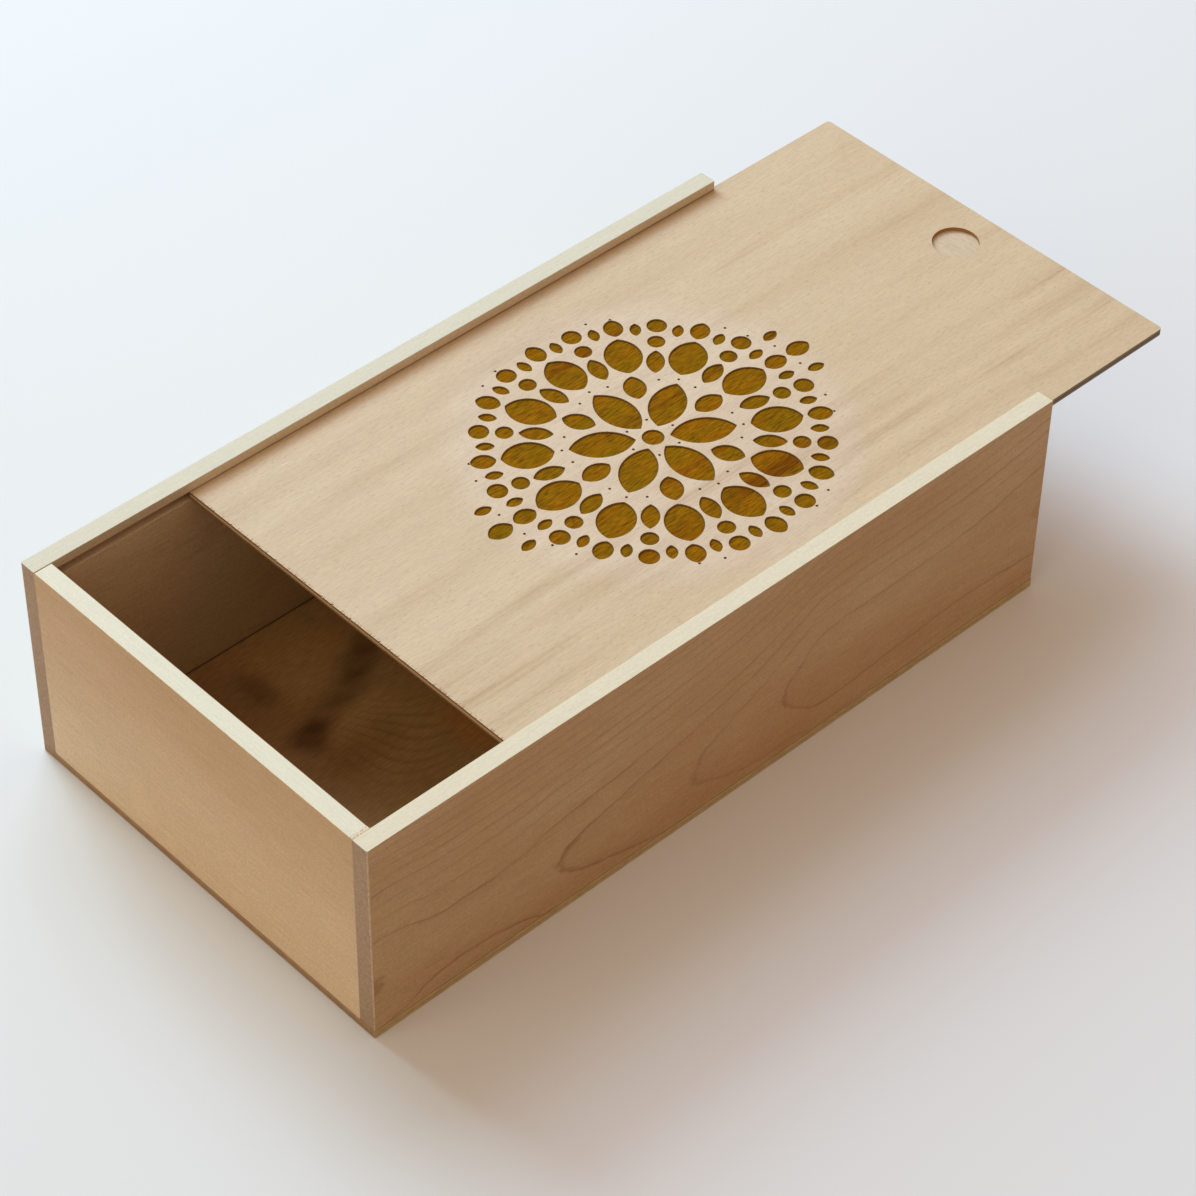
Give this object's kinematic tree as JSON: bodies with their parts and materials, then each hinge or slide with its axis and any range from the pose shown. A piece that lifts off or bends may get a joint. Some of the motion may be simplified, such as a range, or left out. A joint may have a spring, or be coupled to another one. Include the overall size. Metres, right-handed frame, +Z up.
{
  "type": "sliding-lid gift box",
  "caption": "Shallow wooden box whose thin plywood lid slides in a groove round three sides and out over a low end board, for papers and keepsakes.",
  "frame": {"origin": "centre of the box's underside, under the middle of its boards; the lid isn't counted", "axes": "+Z up; +X along the box towards the open end, the way the lid slides out; +Y towards the left side board"},
  "size_m": [0.425, 0.198, 0.1005],
  "materials": {
    "board_wood": "fine-sanded, unfinished solid lime",
    "beech_face": "fine-sanded, unfinished beech veneer",
    "ply_face": "sanded, unfinished plywood face",
    "ply_core": "rotary-cut core ply",
    "brad_steel": "bright drawn steel"
  },
  "bodies": {
    "box": {"left_side": "board_wood", "right_side": "board_wood", "closed_end": "board_wood", "open_end": "board_wood", "base_inner_veneer": "ply_face", "base_core_veneer": "ply_core", "base_outer_veneer": "ply_face", "base_brads": "brad_steel"},
    "lid": {"lid_face_veneer": "beech_face", "lid_core_veneer": "ply_core", "lid_back_veneer": "beech_face"}
  },
  "joints": [
    {"name": "lid_slide", "type": "slide", "parent": "box", "child": "lid", "axis": [1, 0, 0], "range_m": [-0.07, 0.281]}
  ]
}
